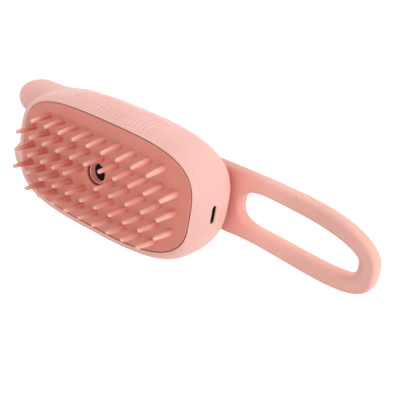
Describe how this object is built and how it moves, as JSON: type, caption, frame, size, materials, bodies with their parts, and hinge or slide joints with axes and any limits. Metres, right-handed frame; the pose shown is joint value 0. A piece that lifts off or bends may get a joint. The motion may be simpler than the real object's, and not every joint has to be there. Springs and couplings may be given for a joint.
{
  "type": "pet grooming brush",
  "caption": "Handheld pet steam grooming brush: soft bristle pad with a central mist nozzle, eared oval housing with a water tank inside, and a swivelling loop handle.",
  "frame": {"origin": "on the flat back face that the brush rests on, under the middle of the bristle field", "axes": "+X along the length towards the loop handle, +Z out of the bristle face, +Y towards the ribbed grip side"},
  "size_m": [0.2163, 0.0658, 0.0559],
  "materials": {
    "shell": "satin moulded",
    "pad": "soft silicone",
    "handle": "satin moulded",
    "nozzle": "satin moulded",
    "soft_pink": "soft silicone",
    "inner_plastic": "moulded",
    "tank": "clear plastic",
    "dark_rubber": "matt",
    "steel": "plain",
    "brass": "plain",
    "board": "solder mask",
    "cell": "foil",
    "cotton": "compressed fibre"
  },
  "bodies": {
    "housing": {"front_shell": "shell", "back_cover": "shell", "bristle_pad": "pad", "pad_carrier": "shell", "case_screw_1": "steel", "case_screw_2": "steel", "case_screw_3": "steel", "case_screw_4": "steel", "pivot_washer": "steel", "pivot_bush": "inner_plastic", "pivot_screw": "steel", "pivot_nut": "steel", "nozzle_seal": "dark_rubber", "atomiser_holder": "dark_rubber", "atomiser_disc": "brass", "wick_tube": "inner_plastic", "wick": "cotton", "wick_spring": "steel", "water_tank": "tank", "tank_seal": "dark_rubber", "tank_lid": "inner_plastic", "button_switch": "steel", "switch_board": "board", "status_light": "tank", "main_board": "board", "control_chip": "dark_rubber", "driver_coil": "brass", "battery": "cell", "usb_socket": "steel"},
    "handle": {"handle": "handle", "hub_cap": "handle"},
    "nozzle": {"nozzle_cap": "nozzle"},
    "filler": {"filler_plug": "soft_pink"},
    "button": {"power_button": "shell"}
  },
  "joints": [
    {"name": "handle_swivel", "type": "hinge", "parent": "housing", "child": "handle", "pos_m": [0.038, 0, 0.0039], "axis": [0, 0, 1], "range_deg": [-90, 90]},
    {"name": "nozzle_twist", "type": "hinge", "parent": "housing", "child": "nozzle", "pos_m": [-0.0029, 0.0005, 0.0375], "axis": [0, 0, 1], "range_deg": [0, 45]},
    {"name": "filler_flap", "type": "hinge", "parent": "housing", "child": "filler", "pos_m": [-0.0045, -0.032, 0.022], "axis": [0, 0, 1], "range_deg": [0, 100]},
    {"name": "button_press", "type": "slide", "parent": "housing", "child": "button", "axis": [0, 0, 1], "range_m": [0, 0.0008], "stiffness_N_per_m": 1200}
  ]
}
